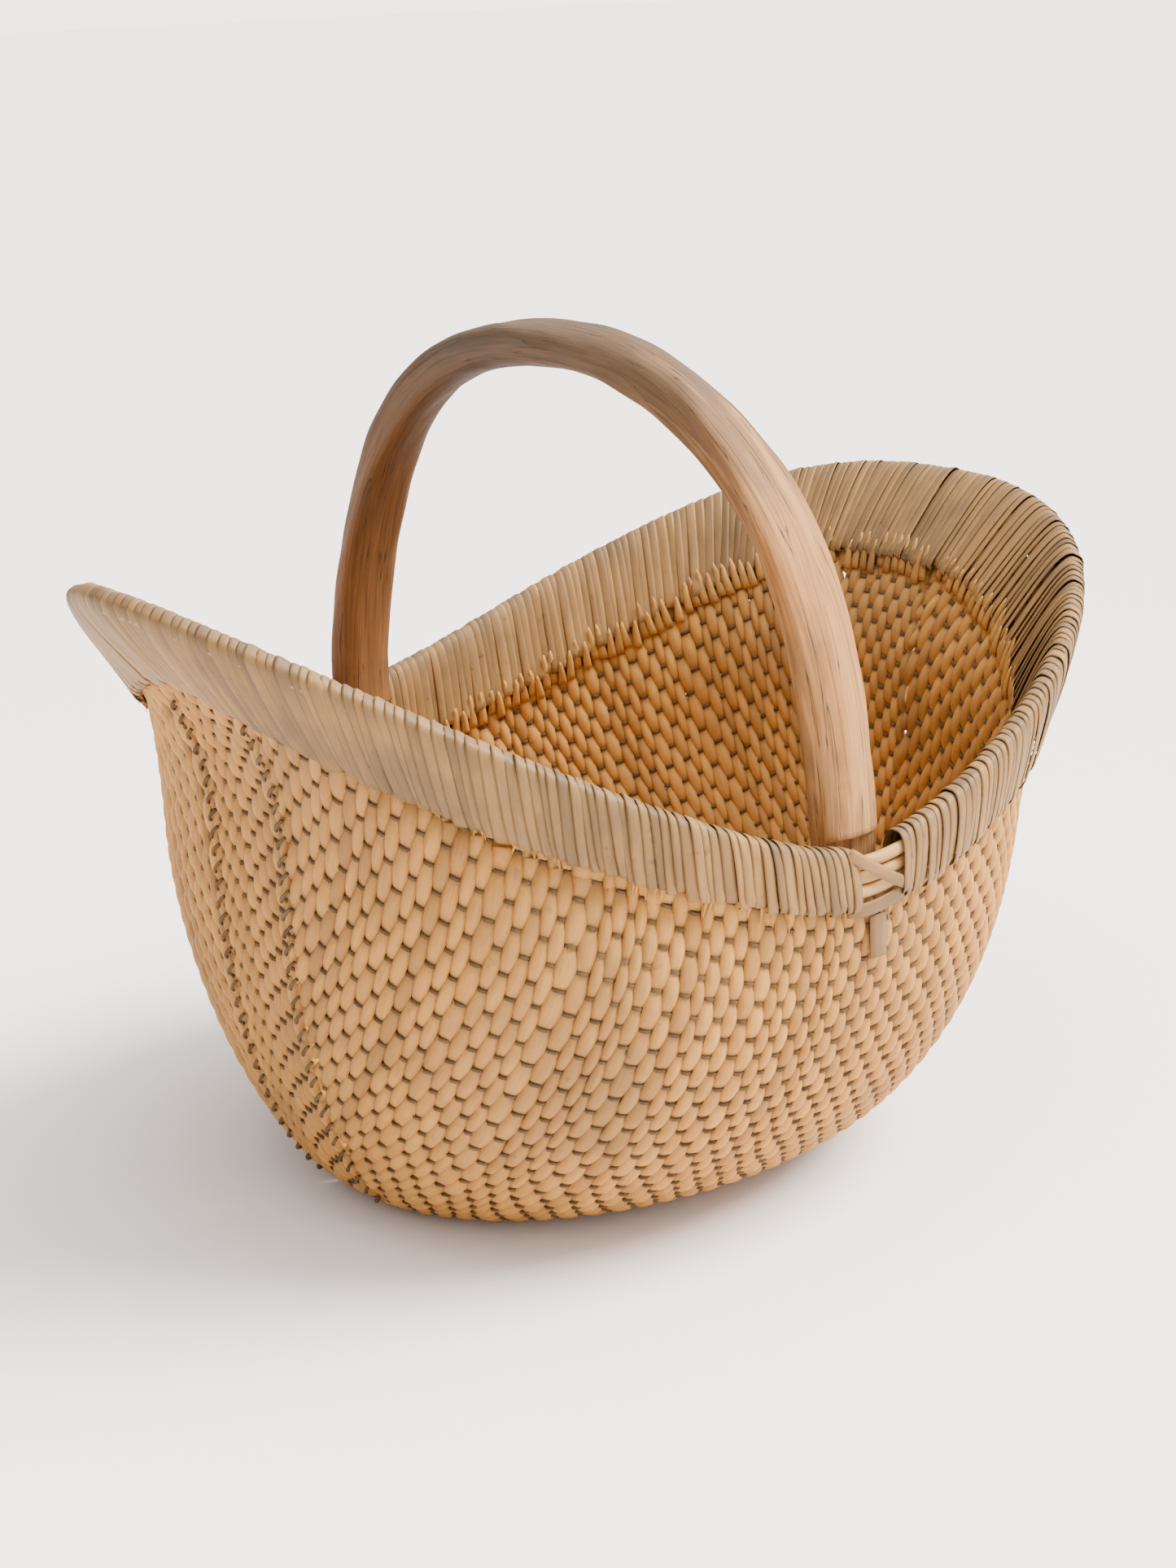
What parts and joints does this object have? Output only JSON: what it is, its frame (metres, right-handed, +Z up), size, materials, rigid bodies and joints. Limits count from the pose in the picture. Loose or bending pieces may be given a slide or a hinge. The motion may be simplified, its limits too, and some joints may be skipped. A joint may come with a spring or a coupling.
{
  "type": "winnowing basket",
  "caption": "Boat-shaped willow winnowing basket with upturned wrapped lips and a fixed bentwood handle.",
  "frame": {"origin": "middle of the flat base, on the surface it stands on", "axes": "+X along the length towards the lower lip, +Y across towards the far side, +Z up"},
  "size_m": [0.4887, 0.3952, 0.3851],
  "materials": {
    "willow_rod": "matte peeled willow rods",
    "split_rod": "matte split rods",
    "willow_skein": "satin flat willow skein",
    "hemp_cord": "twisted bast cord",
    "bent_wood": "worn peeled branch"
  },
  "bodies": {
    "root": {"base_weave": "willow_rod", "far_cross_lashing": "willow_skein", "far_diagonal_lashing": "willow_skein", "far_side_weave": "willow_rod", "handle_bow": "bent_wood", "inner_rim_rod_left_1": "split_rod", "inner_rim_rod_left_2": "split_rod", "inner_rim_rod_left_3": "split_rod", "inner_rim_rod_right_1": "split_rod", "inner_rim_rod_right_2": "split_rod", "inner_rim_rod_right_3": "split_rod", "left_end_weave": "willow_rod", "left_far_corner_lace": "hemp_cord", "left_near_corner_lace": "hemp_cord", "left_rim_wrap": "willow_skein", "near_cross_lashing": "willow_skein", "near_diagonal_lashing": "willow_skein", "near_handle_tongue_end": "bent_wood", "near_side_weave": "willow_rod", "outer_rim_hoop_1": "split_rod", "outer_rim_hoop_2": "split_rod", "outer_rim_hoop_3": "split_rod", "right_end_weave": "willow_rod", "right_far_corner_lace": "hemp_cord", "right_near_corner_lace": "hemp_cord", "right_rim_wrap": "willow_skein"}
  },
  "joints": []
}
